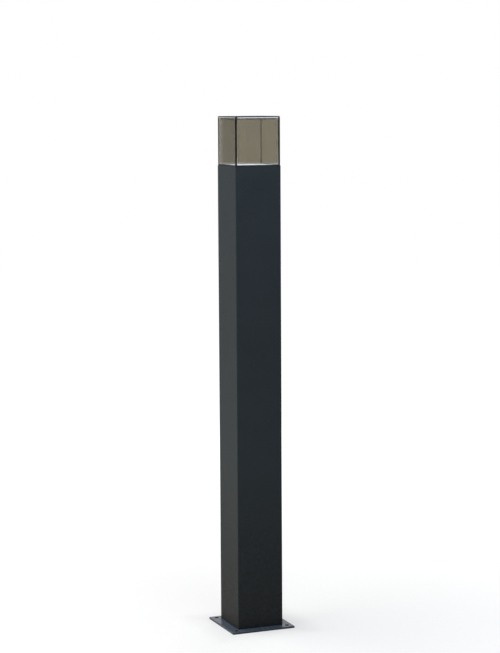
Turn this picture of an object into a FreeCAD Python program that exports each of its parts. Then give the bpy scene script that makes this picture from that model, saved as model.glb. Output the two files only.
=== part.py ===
"""Square post lantern: an extruded post on a bolt-down plate with a glazed light head.

Millimetres, +Z up. The origin is the centre of the base plate's underside. The front is -Y.
"""
import FreeCAD
import Part
import Sketcher
import os

SIZES = [
    ("plate_margin", 19.5, "base plate beyond the post, all round"),
    ("plate_thickness", 4, ""),
    ("plate_corner_radius", 1.5, ""),
    ("anchor_inset", 12.5, "anchor holes from the plate's edges"),
    ("anchor_hole", 7, "clearance for an M6 anchor"),
    ("cable_hole", 24, "cable entry in the plate"),
    ("edge_round", 0.5, "softened edges under the coating"),
    ("grommet_bore", 14, ""),
    ("grommet_flange", 32, ""),
    ("grommet_flange_thickness", 2.5, ""),
    ("grommet_recess", 0.5, "grommet's foot above the ground"),
    ("grommet_clearance", 0.1, "all round, in its hole"),
    ("post_side", 100, "square extrusion"),
    ("post_length", 960, ""),
    ("post_wall", 2.5, ""),
    ("post_corner_radius", 1.5, ""),
    ("port_inset", 9.6, "screw port's centre from the post's faces"),
    ("port_outer", 9, "screw port's boss"),
    ("port_bore", 4.2, ""),
    ("port_web", 3, "web from the boss to the corner"),
    ("port_screw", 4, "screws in the ports"),
    ("port_screw_head", 7, ""),
    ("port_screw_length", 18, ""),
    ("port_screw_hole", 4.4, "clearance hole"),
    ("screw_recess", 0.2, "countersunk heads below the surface"),
    ("flange_thickness", 3, "lamp tray's flange on the post"),
    ("ledge_depth", 1.5, "rebate for the diffuser"),
    ("pan_margin", 19, "from the post's faces into the lamp tray's pan"),
    ("pan_wall", 2.5, ""),
    ("pan_depth", 16.5, "from the ledge to the pan's floor"),
    ("pan_floor", 3, ""),
    ("fin_thickness", 2, "cooling fins under the pan"),
    ("fin_height", 12, ""),
    ("fin_length", 56, ""),
    ("fin_pitch", 14, ""),
    ("thermal_pad_thickness", 0.5, ""),
    ("board_margin", 7, "between the light-source board and the pan"),
    ("board_thickness", 1.6, ""),
    ("board_screw_inset", 3.5, ""),
    ("chip_side", 3, ""),
    ("chip_height", 0.7, ""),
    ("chip_margin", 12, "outer chips' centres from the board's edges"),
    ("connector_width", 10, ""),
    ("connector_depth", 6, ""),
    ("connector_height", 7, ""),
    ("connector_entry", 4.5, "lead's height above the board"),
    ("diffuser_gap", 0.45, "between the diffuser and the sill"),
    ("diffuser_corner_land", 1.1, "between its cut corners and the tray's screws"),
    ("diffuser_thickness", 2.2, ""),
    ("diffuser_clearance", 0.3, "all round, in its rebate"),
    ("diffuser_seal_thickness", 0.8, ""),
    ("diffuser_seal_setback", 1.5, "from the pan's mouth"),
    ("diffuser_screw", 2.5, ""),
    ("diffuser_screw_head", 4.5, ""),
    ("diffuser_screw_length", 4.6, ""),
    ("diffuser_screw_setback", 6.5, "from the pan's mouth"),
    ("diffuser_screw_hole", 2.7, ""),
    ("lantern_inset", 1, "corner bars and lid behind the post's faces"),
    ("bar_round", 0.4, ""),
    ("bar_top_gap", 0.3, "under the lid"),
    ("bar_screw", 1.6, ""),
    ("bar_screw_head", 3, ""),
    ("bar_screw_length", 8, ""),
    ("bar_screw_hole", 1.8, ""),
    ("bar_bore", 1.7, ""),
    ("bar_bore_depth", 7, ""),
    ("pane_height", 95.5, "glass"),
    ("pane_thickness", 3, ""),
    ("pane_recess", 0.25, "behind the faces of the bars"),
    ("pane_gap", 0.2, "between a pane and a bar"),
    ("sill_thickness", 1.5, "rubber sill under the panes"),
    ("sill_width", 4.8, ""),
    ("lid_thickness", 2, ""),
    ("lid_corner_radius", 1.5, ""),
    ("lid_seal_thickness", 2, "silicone between the panes and the lid"),
    ("lid_frame_gap", 2.75, "between the panes and the lid's locating frame"),
    ("lid_frame_width", 6, ""),
    ("lid_frame_height", 4.5, ""),
    ("lid_seal_gap", 0.1, "between the seal and the frame"),
    ("machine_screw", 3, "M3 screws of the lid, board and gear"),
    ("machine_screw_head", 5.6, ""),
    ("machine_screw_head_height", 2, ""),
    ("machine_screw_hole", 3.2, ""),
    ("tapped_hole", 3.1, ""),
    ("lid_screw_length", 6, ""),
    ("board_screw_length", 4.3, ""),
    ("board_hole_depth", 2.5, ""),
    ("bracket_width", 40, "gear bracket, a folded channel"),
    ("bracket_sheet", 1.5, ""),
    ("bracket_flange", 8, ""),
    ("bracket_tail", 30, "below the terminal block"),
    ("bracket_drop", 4, "its top below the post's top"),
    ("bracket_tongue", 36, "flat end against the pan"),
    ("bracket_screw_spacing", 24, ""),
    ("bracket_screw_drop", 7, "below the bracket's top"),
    ("bracket_screw_length", 5, ""),
    ("driver_width", 34, "constant-current driver"),
    ("driver_depth", 26, ""),
    ("driver_length", 118, ""),
    ("driver_gap", 14, "between the fins and the driver"),
    ("driver_round", 2.5, ""),
    ("driver_ear_length", 10, ""),
    ("driver_ear_thickness", 3, ""),
    ("driver_screw_offset", 10, "from the driver's centre line"),
    ("driver_screw_length", 6, ""),
    ("lead_diameter", 3.6, "from the driver to the board"),
    ("lead_bend", 5, ""),
    ("lead_tail", 1.5, "straight into the connector"),
    ("lead_hole", 5.6, "in the pan's floor"),
    ("lead_grommet_bore", 3.8, ""),
    ("lead_grommet_flange", 6.6, ""),
    ("lead_grommet_lip", 1.2, ""),
    ("input_lead_diameter", 6, "from the terminals to the driver"),
    ("input_lead_length", 30, ""),
    ("input_lead_depth", 12, "from the bracket"),
    ("terminal_width", 30, "terminal block"),
    ("terminal_depth", 16, ""),
    ("terminal_height", 22, ""),
    ("terminal_pitch", 10, ""),
    ("terminal_entry", 4, ""),
    ("terminal_entry_depth", 12, ""),
    ("terminal_entry_setback", 6, "from the bracket"),
    ("terminal_screw", 3, "clamping screws"),
    ("terminal_screw_head", 4.6, ""),
    ("terminal_screw_head_height", 1.6, ""),
    ("terminal_screw_length", 7, ""),
    ("terminal_screw_hole", 3.2, ""),
    ("terminal_screw_height", 6, "above the block's foot"),
    ("terminal_fixing_length", 19, ""),
    ("terminal_fixing_height", 15, ""),
    ("earth_screw", 4, ""),
    ("earth_screw_head", 8, ""),
    ("earth_screw_head_height", 3, ""),
    ("earth_screw_length", 6, ""),
    ("earth_screw_height", 12, "above the bracket's foot"),
    ("earth_tapped_hole", 4.1, ""),
]

doc = FreeCAD.newDocument("PostLantern")
sheet = doc.addObject("Spreadsheet::Sheet", "Size")
for row, (alias, number, note) in enumerate(SIZES, 1):
    sheet.set(f"A{row}", alias)
    sheet.set(f"B{row}", str(number))
    sheet.setAlias(f"B{row}", alias)
    sheet.set(f"C{row}", note)
doc.recompute()

# Distances from the vertical axis.
ANCHOR = "Size.post_side / 2 + Size.plate_margin - Size.anchor_inset"
PORT = "Size.post_side / 2 - Size.port_inset"
PAN_HALF = "Size.post_side / 2 - Size.pan_margin"
PAN_FACE = PAN_HALF + " + Size.pan_wall"
BOARD_HALF = PAN_HALF + " - Size.board_margin"
BOARD_SCREW = BOARD_HALF + " - Size.board_screw_inset"
OUTER_CHIP = f"({BOARD_HALF} - Size.chip_margin)"
LEAD = PAN_HALF + " - Size.board_margin / 2"
CONNECTOR_FACE = LEAD + " - Size.lead_bend - Size.lead_tail"
LANTERN_HALF = "Size.post_side / 2 - Size.lantern_inset"
PANE_FACE = LANTERN_HALF + " - Size.pane_recess"
PANE_BACK = PANE_FACE + " - Size.pane_thickness"
PANE_END = PANE_BACK + " - Size.pane_gap"
SILL_HALF = PANE_FACE + " - Size.sill_width"
DIFFUSER_HALF = SILL_HALF + " - Size.diffuser_gap"
DIFFUSER_SCREW = PAN_HALF + " + Size.diffuser_screw_setback"
FRAME_HALF = PANE_BACK + " - Size.lid_frame_gap"
LID_SCREW = FRAME_HALF + " - Size.lid_frame_width / 2"
BRACKET_SCREW = "Size.bracket_screw_spacing / 2"

# The corner bars are as deep as the glass and its recess.
BAR_SIDE = "(Size.pane_thickness + Size.pane_recess)"
BAR = f"{LANTERN_HALF} - {BAR_SIDE} / 2"

# Drops below the tray's flange, and heights of the seats above the ground.
PAN_DROP = "(Size.pan_depth + Size.pan_floor + Size.ledge_depth - Size.flange_thickness)"
SHOULDER = "Size.plate_thickness + Size.post_length"
DECK = SHOULDER + " + Size.flange_thickness"
LEDGE = DECK + " - Size.ledge_depth"
PAN_DECK = LEDGE + " - Size.pan_depth"
BOARD_SEAT = PAN_DECK + " + Size.thermal_pad_thickness"
BOARD_TOP = BOARD_SEAT + " + Size.board_thickness"
DIFFUSER_SEAT = LEDGE + " + Size.diffuser_seal_thickness"
SILL_TOP = DECK + " + Size.sill_thickness"
PANE_TOP = SILL_TOP + " + Size.pane_height"
LID_SEAT = PANE_TOP + " + Size.lid_seal_thickness"
FIN_TIP = f"{SHOULDER} - {PAN_DROP} - Size.fin_height"
DRIVER_TOP = FIN_TIP + " - Size.driver_gap - Size.driver_ear_length"
DRIVER_FOOT = DRIVER_TOP + " - Size.driver_length"
TERMINAL_TOP = DRIVER_FOOT + " - Size.input_lead_length"
TERMINAL_FOOT = TERMINAL_TOP + " - Size.terminal_height"
BRACKET_FOOT = TERMINAL_FOOT + " - Size.bracket_tail"
BRACKET_TOP = SHOULDER + " - Size.bracket_drop"
BRACKET_LENGTH = f"({BRACKET_TOP} - ({BRACKET_FOOT}))"


def value(expression):
    """The expression's present value."""
    return float(sheet.evalExpression(expression))


def around(points):
    """The points of one quarter, repeated in the other three quarters."""
    corners = []
    for turn in range(4):
        corners += points
        points = [(f"-({y})", x) for x, y in points]
    return corners


def rectangle(width, depth, x="0", y="0"):
    """Corners of a rectangle about a centre."""
    left = f"{x} - ({width}) / 2"
    right = f"{x} + ({width}) / 2"
    near = f"{y} - ({depth}) / 2"
    far = f"{y} + ({depth}) / 2"
    return [(left, near), (right, near), (right, far), (left, far)]


def new_body(label, x="0", y="0", z="0"):
    """An empty body, placed by expressions."""
    body = doc.addObject("PartDesign::Body", label)
    body.Label = label
    for axis, expression in (("x", x), ("y", y), ("z", z)):
        body.setExpression(f"Placement.Base.{axis}", expression)
    return body


def new_sketch(body, name, plane="XY_Plane", offset="0"):
    """An empty sketch on one of the body's own planes, offset along its normal."""
    sketch = body.newObject("Sketcher::SketchObject", name)
    support = next(item for item in body.Origin.OriginFeatures if item.Role == plane)
    sketch.AttachmentSupport = [(support, "")]
    sketch.MapMode = "FlatFace"
    sketch.setExpression("AttachmentOffset.Base.z", offset)
    return sketch


def bind(sketch, constraint, expression):
    """Adds a constraint whose value follows an expression."""
    number = sketch.addConstraint(constraint)
    sketch.setExpression(f"Constraints[{number}]", expression)


def hold(sketch, geometry, point, x, y):
    """Holds a point of the sketch by its two coordinates."""
    bind(sketch, Sketcher.Constraint("DistanceX", -1, 1, geometry, point, value(x)), x)
    bind(sketch, Sketcher.Constraint("DistanceY", -1, 1, geometry, point, value(y)), y)


def draw_outline(sketch, corners):
    """A closed outline of straight lines through the corners."""
    points = [FreeCAD.Vector(value(x), value(y), 0) for x, y in corners]
    first = sketch.GeometryCount
    for start, end in zip(points, points[1:] + points[:1]):
        sketch.addGeometry(Part.LineSegment(start, end))
    for number, (x, y) in enumerate(corners):
        before = first + (number - 1) % len(corners)
        sketch.addConstraint(Sketcher.Constraint("Coincident", before, 2, first + number, 1))
        hold(sketch, first + number, 1, x, y)


def draw_circles(sketch, places, diameter):
    """A circle of the same diameter at each place."""
    for x, y in places:
        centre = FreeCAD.Vector(value(x), value(y), 0)
        radius = value(diameter) / 2
        circle = sketch.addGeometry(Part.Circle(centre, FreeCAD.Vector(0, 0, 1), radius))
        hold(sketch, circle, 3, x, y)
        bind(sketch, Sketcher.Constraint("Diameter", circle, 2 * radius), diameter)


def extrude(body, sketch, kind, length, reverse=False):
    """Pads or pockets a sketch by a length, and returns the feature."""
    feature = body.newObject(f"PartDesign::{kind}", f"{sketch.Name}_{kind}")
    feature.Profile = sketch
    feature.setExpression("Length", length)
    feature.Reversed = reverse
    doc.recompute()
    return feature


def pad_outline(body, name, corners, length, offset="0", reverse=False, plane="XY_Plane"):
    """Adds a straight block over an outline."""
    sketch = new_sketch(body, name, plane, offset)
    draw_outline(sketch, corners)
    return extrude(body, sketch, "Pad", length, reverse)


def pad_circles(body, name, places, diameter, length, offset="0", reverse=False, plane="XY_Plane"):
    """Adds a round pin at each place."""
    sketch = new_sketch(body, name, plane, offset)
    draw_circles(sketch, places, diameter)
    return extrude(body, sketch, "Pad", length, reverse)


def cut_outline(body, name, corners, length, offset="0", reverse=False, plane="XY_Plane"):
    """Cuts a straight recess over an outline, which must take material away."""
    before = body.Shape.Volume
    sketch = new_sketch(body, name, plane, offset)
    draw_outline(sketch, corners)
    feature = extrude(body, sketch, "Pocket", length, reverse)
    require_cut(body, name, before)
    return feature


def cut_circles(body, name, places, diameter, length, offset="0", reverse=False, plane="XY_Plane"):
    """Cuts a round hole at each place, which must take material away."""
    before = body.Shape.Volume
    sketch = new_sketch(body, name, plane, offset)
    draw_circles(sketch, places, diameter)
    feature = extrude(body, sketch, "Pocket", length, reverse)
    require_cut(body, name, before)
    return feature


def cut_countersinks(body, name, places, shank, head, offset="0", reverse=False):
    """Cuts the 90 degree seats of countersunk heads that lie a recess below the surface."""
    mouth = f"{head} + 2 * Size.screw_recess"
    feature = cut_circles(body, name, places, mouth, f"({mouth} - ({shank})) / 2", offset, reverse)
    feature.TaperAngle = -45
    doc.recompute()


def require_cut(body, name, before):
    """Stops the build if a cut missed the solid."""
    if body.Shape.Volume > before - 1e-6:
        raise RuntimeError(f"{body.Label}: {name} cuts nothing")


def round_edges(body, radius, wanted):
    """Rounds the edges that the test picks out of the body's shape."""
    base = body.Tip
    edges = enumerate(base.Shape.Edges, 1)
    names = [f"Edge{number}" for number, edge in edges if wanted(edge, base.Shape)]
    fillet = body.newObject("PartDesign::Fillet", f"{base.Name}_Fillet")
    fillet.Base = (base, names)
    fillet.setExpression("Radius", radius)
    doc.recompute()


def is_upright(edge, shape):
    """True for a straight vertical edge."""
    return abs(edge.BoundBox.ZLength - edge.Length) < 1e-6


def is_on_top(edge, shape):
    """True for an edge of the shape's top face."""
    return edge.BoundBox.ZMin > shape.BoundBox.ZMax - 1e-6


def turn_about_axis(body, name, corners):
    """Revolves a half profile, drawn as radius and height, about the body's vertical axis."""
    sketch = new_sketch(body, name, "XZ_Plane")
    draw_outline(sketch, corners)
    feature = body.newObject("PartDesign::Revolution", f"{name}_Revolution")
    feature.Profile = sketch
    feature.ReferenceAxis = (sketch, ["V_Axis"])
    feature.Angle = 360
    doc.recompute()


def countersunk_screws(label, places, shank, length, head, z, upward=False):
    """Countersunk screws with their flat faces at one height and their shanks up or down."""
    body = new_body(label, z=z)
    pad_circles(body, "Shanks", places, shank, length, reverse=not upward)
    heads = pad_circles(body, "Heads", places, head, f"({head} - {shank}) / 2", reverse=not upward)
    heads.TaperAngle = -45
    doc.recompute()
    return body


def pan_head_screws(label, places, shank, length, head, height, plane="XY_Plane", y="0", z="0",
                    along=False):
    """Pan-head screws seated on the plane, with their shanks against or along its normal."""
    body = new_body(label, y=y, z=z)
    pad_circles(body, "Shanks", places, shank, length, reverse=not along, plane=plane)
    pad_circles(body, "Heads", places, head, height, reverse=along, plane=plane)
    return body


# Base plate: four anchor holes outside the post, four countersinks underneath, one cable hole.
base_plate = new_body("base_plate")
PLATE_SIDE = "Size.post_side + 2 * Size.plate_margin"
pad_outline(base_plate, "PlateOutline", rectangle(PLATE_SIDE, PLATE_SIDE), "Size.plate_thickness")
round_edges(base_plate, "Size.plate_corner_radius", is_upright)
round_edges(base_plate, "Size.edge_round", is_on_top)
cut_circles(base_plate, "AnchorHoles", around([(ANCHOR, ANCHOR)]), "Size.anchor_hole",
            "Size.plate_thickness", "Size.plate_thickness")
cut_circles(base_plate, "CableHole", [("0", "0")], "Size.cable_hole", "Size.plate_thickness",
            "Size.plate_thickness")
cut_circles(base_plate, "ScrewHoles", around([(PORT, PORT)]), "Size.port_screw_hole",
            "Size.plate_thickness", "Size.plate_thickness")
cut_countersinks(base_plate, "ScrewSeats", around([(PORT, PORT)]), "Size.port_screw_hole",
                 "Size.port_screw_head", reverse=True)

base_screws = countersunk_screws("base_screws", around([(PORT, PORT)]), "Size.port_screw",
                                 "Size.port_screw_length", "Size.port_screw_head",
                                 "Size.screw_recess", upward=True)

# Rubber bush that lines the cable hole, with its flange on the plate inside the post.
cable_grommet = new_body("cable_grommet", z="Size.grommet_recess")
SLEEVE = "Size.cable_hole / 2 - Size.grommet_clearance"
SLEEVE_TOP = "Size.plate_thickness - Size.grommet_recess"
GROMMET_TOP = SLEEVE_TOP + " + Size.grommet_flange_thickness"
turn_about_axis(cable_grommet, "GrommetProfile", [
    ("Size.grommet_bore / 2", "0"),
    (SLEEVE, "0"),
    (SLEEVE, SLEEVE_TOP),
    ("Size.grommet_flange / 2", SLEEVE_TOP),
    ("Size.grommet_flange / 2", GROMMET_TOP),
    ("Size.grommet_bore / 2", GROMMET_TOP),
])

# Post: a square extrusion whose screw ports stand on diagonal webs in the corners.
post_tube = new_body("post_tube", z="Size.plate_thickness")
pad_outline(post_tube, "PostOutline", rectangle("Size.post_side", "Size.post_side"), "Size.post_length")
round_edges(post_tube, "Size.post_corner_radius", is_upright)
BORE_SIDE = "Size.post_side - 2 * Size.post_wall"
cut_outline(post_tube, "PostBore", rectangle(BORE_SIDE, BORE_SIDE), "Size.post_length",
            "Size.post_length")
WEB_END = "Size.post_side / 2 - Size.post_wall"
WEB_HALF = "Size.port_web / sqrt(8)"
web_outline = [
    (f"{PORT} + {WEB_HALF}", f"{PORT} - {WEB_HALF}"),
    (f"{WEB_END} + {WEB_HALF}", f"{WEB_END} - {WEB_HALF}"),
    (f"{WEB_END} - {WEB_HALF}", f"{WEB_END} + {WEB_HALF}"),
    (f"{PORT} - {WEB_HALF}", f"{PORT} + {WEB_HALF}"),
]
webs = new_sketch(post_tube, "PortWebs")
for quarter in range(4):
    draw_outline(webs, around(web_outline)[4 * quarter:4 * quarter + 4])
extrude(post_tube, webs, "Pad", "Size.post_length")
pad_circles(post_tube, "PortBosses", around([(PORT, PORT)]), "Size.port_outer", "Size.post_length")
cut_circles(post_tube, "PortBores", around([(PORT, PORT)]), "Size.port_bore", "Size.post_length",
            "Size.post_length")

# Lamp tray: a cast flange on the post, a stepped seat for the diffuser, a pan and cooling fins.
lamp_tray = new_body("lamp_tray", z=SHOULDER)
pad_outline(lamp_tray, "FlangeOutline", rectangle("Size.post_side", "Size.post_side"),
            "Size.flange_thickness")
round_edges(lamp_tray, "Size.post_corner_radius", is_upright)
pad_outline(lamp_tray, "PanOutline", around([(PAN_FACE, PAN_FACE)]), PAN_DROP, reverse=True)
SCREW_LAND = "(Size.port_screw_head / 2 + Size.screw_recess + Size.diffuser_corner_land)"
CUT_POINT = f"2 * ({PORT}) - sqrt(2) * {SCREW_LAND} - ({DIFFUSER_HALF})"
LEDGE_HALF = DIFFUSER_HALF + " + Size.diffuser_clearance"
cut_outline(lamp_tray, "DiffuserLedge", around([(LEDGE_HALF, CUT_POINT), (CUT_POINT, LEDGE_HALF)]),
            "Size.ledge_depth", "Size.flange_thickness")
cut_outline(lamp_tray, "PanHollow", around([(PAN_HALF, PAN_HALF)]), "Size.pan_depth",
            "Size.flange_thickness - Size.ledge_depth")
fins = new_sketch(lamp_tray, "Fins", offset=f"-{PAN_DROP}")
for step in ("-1.5", "-0.5", "0.5", "1.5"):
    draw_outline(fins, rectangle("Size.fin_thickness", "Size.fin_length", f"{step} * Size.fin_pitch"))
extrude(lamp_tray, fins, "Pad", "Size.fin_height", reverse=True)
cut_circles(lamp_tray, "TrayScrewHoles", around([(PORT, PORT)]), "Size.port_screw_hole",
            "Size.flange_thickness", "Size.flange_thickness")
cut_countersinks(lamp_tray, "TrayScrewSeats", around([(PORT, PORT)]), "Size.port_screw_hole",
                 "Size.port_screw_head", "Size.flange_thickness")
cut_circles(lamp_tray, "BarScrewHoles", around([(BAR, BAR)]), "Size.bar_screw_hole",
            "Size.flange_thickness", "Size.flange_thickness")
cut_countersinks(lamp_tray, "BarScrewSeats", around([(BAR, BAR)]), "Size.bar_screw_hole",
                 "Size.bar_screw_head", reverse=True)
cut_circles(lamp_tray, "DiffuserScrewHoles", around([(DIFFUSER_SCREW, "0")]),
            "Size.diffuser_screw_hole", "Size.flange_thickness", "Size.flange_thickness")
cut_circles(lamp_tray, "BoardScrewHoles", around([(BOARD_SCREW, BOARD_SCREW)]), "Size.tapped_hole",
            "Size.board_hole_depth", f"Size.pan_floor - {PAN_DROP}")
cut_circles(lamp_tray, "LeadHole", [("0", LEAD)], "Size.lead_hole", "Size.pan_floor",
            f"Size.pan_floor - {PAN_DROP}")
SIDE_SCREW_HEIGHT = "-Size.bracket_drop - Size.bracket_screw_drop"
side_screws = [(f"-{BRACKET_SCREW}", SIDE_SCREW_HEIGHT), (BRACKET_SCREW, SIDE_SCREW_HEIGHT)]
cut_circles(lamp_tray, "BracketScrewHoles", side_screws, "Size.tapped_hole", "Size.pan_wall",
            f"-({PAN_FACE})", True, "XZ_Plane")

tray_screws = countersunk_screws("tray_screws", around([(PORT, PORT)]), "Size.port_screw",
                                 "Size.port_screw_length", "Size.port_screw_head",
                                 DECK + " - Size.screw_recess")

# Light source in the pan: pad, board, chips, connector and screws.
thermal_pad = new_body("thermal_pad", z=PAN_DECK)
pad_outline(thermal_pad, "PadOutline", around([(BOARD_HALF, BOARD_HALF)]),
            "Size.thermal_pad_thickness")
cut_circles(thermal_pad, "PadHoles", around([(BOARD_SCREW, BOARD_SCREW)]), "Size.machine_screw_hole",
            "Size.thermal_pad_thickness", "Size.thermal_pad_thickness")

led_board = new_body("led_board", z=BOARD_SEAT)
pad_outline(led_board, "BoardOutline", around([(BOARD_HALF, BOARD_HALF)]), "Size.board_thickness")
cut_circles(led_board, "BoardHoles", around([(BOARD_SCREW, BOARD_SCREW)]), "Size.machine_screw_hole",
            "Size.board_thickness", "Size.board_thickness")

led_chips = new_body("led_chips", z=BOARD_TOP)
chips = new_sketch(led_chips, "Chips")
CHIP_LINES = [f"-{OUTER_CHIP}", f"-{OUTER_CHIP} / 3", f"{OUTER_CHIP} / 3", OUTER_CHIP]
for column in CHIP_LINES:
    for line in CHIP_LINES:
        draw_outline(chips, rectangle("Size.chip_side", "Size.chip_side", column, line))
extrude(led_chips, chips, "Pad", "Size.chip_height")

led_connector = new_body("led_connector", y=CONNECTOR_FACE, z=BOARD_TOP)
pad_outline(led_connector, "ConnectorOutline",
            rectangle("Size.connector_width", "Size.connector_depth", y="-Size.connector_depth / 2"),
            "Size.connector_height")

board_screws = pan_head_screws("board_screws", around([(BOARD_SCREW, BOARD_SCREW)]),
                               "Size.machine_screw", "Size.board_screw_length",
                               "Size.machine_screw_head", "Size.machine_screw_head_height",
                               z=BOARD_TOP)

# Opal diffuser on its seal; together they stand as high as the rubber sill.
diffuser_outline = around([(DIFFUSER_HALF, CUT_POINT), (CUT_POINT, DIFFUSER_HALF)])
diffuser_screw_places = around([(DIFFUSER_SCREW, "0")])

diffuser_seal = new_body("diffuser_seal", z=LEDGE)
seal_ring = new_sketch(diffuser_seal, "SealRing")
draw_outline(seal_ring, diffuser_outline)
SEAL_MOUTH = PAN_HALF + " + Size.diffuser_seal_setback"
draw_outline(seal_ring, around([(SEAL_MOUTH, SEAL_MOUTH)]))
extrude(diffuser_seal, seal_ring, "Pad", "Size.diffuser_seal_thickness")
cut_circles(diffuser_seal, "SealHoles", diffuser_screw_places, "Size.diffuser_screw_hole",
            "Size.diffuser_seal_thickness", "Size.diffuser_seal_thickness")

diffuser = new_body("diffuser", z=DIFFUSER_SEAT)
pad_outline(diffuser, "DiffuserOutline", diffuser_outline, "Size.diffuser_thickness")
cut_circles(diffuser, "DiffuserHoles", diffuser_screw_places, "Size.diffuser_screw_hole",
            "Size.diffuser_thickness", "Size.diffuser_thickness")
cut_countersinks(diffuser, "DiffuserScrewSeats", diffuser_screw_places, "Size.diffuser_screw_hole",
                 "Size.diffuser_screw_head", "Size.diffuser_thickness")

diffuser_screws = countersunk_screws(
    "diffuser_screws", diffuser_screw_places, "Size.diffuser_screw", "Size.diffuser_screw_length",
    "Size.diffuser_screw_head", DIFFUSER_SEAT + " + Size.diffuser_thickness - Size.screw_recess")

# Lantern: rubber sill, four corner bars screwed from below, four panes between them.
sill_seal = new_body("sill_seal", z=DECK)
notched_ring = around([(PANE_FACE, PANE_END), (PANE_END, PANE_END), (PANE_END, PANE_FACE)])
sill_ring = new_sketch(sill_seal, "SillRing")
draw_outline(sill_ring, notched_ring)
draw_outline(sill_ring, around([(SILL_HALF, SILL_HALF)]))
extrude(sill_seal, sill_ring, "Pad", "Size.sill_thickness")

BAR_HEIGHT = "Size.sill_thickness + Size.pane_height + Size.lid_seal_thickness - Size.bar_top_gap"
bars = []
for label, x, y in (("corner_bar_front_left", f"-({BAR})", f"-({BAR})"),
                    ("corner_bar_front_right", BAR, f"-({BAR})"),
                    ("corner_bar_rear_right", BAR, BAR),
                    ("corner_bar_rear_left", f"-({BAR})", BAR)):
    bar = new_body(label, x, y, DECK)
    pad_outline(bar, "BarOutline", rectangle(BAR_SIDE, BAR_SIDE), BAR_HEIGHT)
    round_edges(bar, "Size.bar_round", is_upright)
    cut_circles(bar, "BarBore", [("0", "0")], "Size.bar_bore", "Size.bar_bore_depth", reverse=True)
    bars.append(bar)

bar_screws = countersunk_screws("bar_screws", around([(BAR, BAR)]), "Size.bar_screw",
                                "Size.bar_screw_length", "Size.bar_screw_head",
                                SHOULDER + " + Size.screw_recess", upward=True)

PANE_WIDTH = f"2 * ({PANE_END})"
PANE_CENTRE = PANE_FACE + " - Size.pane_thickness / 2"
panes = []
for label, x, y, width, depth in (
        ("glass_front", "0", f"-({PANE_CENTRE})", PANE_WIDTH, "Size.pane_thickness"),
        ("glass_right", PANE_CENTRE, "0", "Size.pane_thickness", PANE_WIDTH),
        ("glass_rear", "0", PANE_CENTRE, PANE_WIDTH, "Size.pane_thickness"),
        ("glass_left", f"-({PANE_CENTRE})", "0", "Size.pane_thickness", PANE_WIDTH)):
    pane = new_body(label, x, y, SILL_TOP)
    pad_outline(pane, "PaneOutline", rectangle(width, depth), "Size.pane_height")
    panes.append(pane)

# Lid: flat plate, locating frame screwed under it, translucent seal on the panes' top edges.
lid_plate = new_body("lid_plate", z=LID_SEAT)
pad_outline(lid_plate, "LidOutline", around([(LANTERN_HALF, LANTERN_HALF)]), "Size.lid_thickness")
round_edges(lid_plate, "Size.lid_corner_radius", is_upright)
round_edges(lid_plate, "Size.edge_round", is_on_top)
cut_circles(lid_plate, "LidHoles", around([(LID_SCREW, LID_SCREW)]), "Size.machine_screw_hole",
            "Size.lid_thickness", "Size.lid_thickness")
cut_countersinks(lid_plate, "LidScrewSeats", around([(LID_SCREW, LID_SCREW)]),
                 "Size.machine_screw_hole", "Size.machine_screw_head", "Size.lid_thickness")

lid_frame = new_body("lid_frame", z=LID_SEAT + " - Size.lid_frame_height")
FRAME_INNER = FRAME_HALF + " - Size.lid_frame_width"
frame_ring = new_sketch(lid_frame, "FrameRing")
draw_outline(frame_ring, around([(FRAME_HALF, FRAME_HALF)]))
draw_outline(frame_ring, around([(FRAME_INNER, FRAME_INNER)]))
extrude(lid_frame, frame_ring, "Pad", "Size.lid_frame_height")
cut_circles(lid_frame, "FrameHoles", around([(LID_SCREW, LID_SCREW)]), "Size.tapped_hole",
            "Size.lid_frame_height", "Size.lid_frame_height")

lid_seal = new_body("lid_seal", z=PANE_TOP)
LID_SEAL_HALF = FRAME_HALF + " + Size.lid_seal_gap"
lid_ring = new_sketch(lid_seal, "LidSealRing")
draw_outline(lid_ring, notched_ring)
draw_outline(lid_ring, around([(LID_SEAL_HALF, LID_SEAL_HALF)]))
extrude(lid_seal, lid_ring, "Pad", "Size.lid_seal_thickness")

lid_screws = countersunk_screws("lid_screws", around([(LID_SCREW, LID_SCREW)]), "Size.machine_screw",
                                "Size.lid_screw_length", "Size.machine_screw_head",
                                LID_SEAT + " + Size.lid_thickness - Size.screw_recess")

# Gear bracket: a folded channel screwed to the pan's rear wall, its tongue left flat.
driver_bracket = new_body("driver_bracket", y=PAN_FACE, z=BRACKET_FOOT)
OUTER = "Size.bracket_width / 2"
INNER = "Size.bracket_width / 2 - Size.bracket_sheet"
FLANGE_TIP = "Size.bracket_sheet + Size.bracket_flange"
pad_outline(driver_bracket, "ChannelOutline", [
    (f"-({OUTER})", "0"),
    (OUTER, "0"),
    (OUTER, FLANGE_TIP),
    (INNER, FLANGE_TIP),
    (INNER, "Size.bracket_sheet"),
    (f"-({INNER})", "Size.bracket_sheet"),
    (f"-({INNER})", FLANGE_TIP),
    (f"-({OUTER})", FLANGE_TIP),
], BRACKET_LENGTH)
cut_outline(driver_bracket, "Tongue",
            rectangle("Size.bracket_width", "Size.bracket_flange",
                      y="Size.bracket_sheet + Size.bracket_flange / 2"),
            "Size.bracket_tongue", BRACKET_LENGTH)
TONGUE_SCREW = BRACKET_LENGTH + " - Size.bracket_screw_drop"
cut_circles(driver_bracket, "TongueHoles",
            [(f"-{BRACKET_SCREW}", TONGUE_SCREW), (BRACKET_SCREW, TONGUE_SCREW)],
            "Size.machine_screw_hole", "Size.bracket_sheet", plane="XZ_Plane")
TERMINAL_BASE = "Size.bracket_tail"
DRIVER_BASE = f"{TERMINAL_BASE} + Size.terminal_height + Size.input_lead_length"
EAR_MIDDLE = "Size.driver_ear_length / 2"
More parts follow.
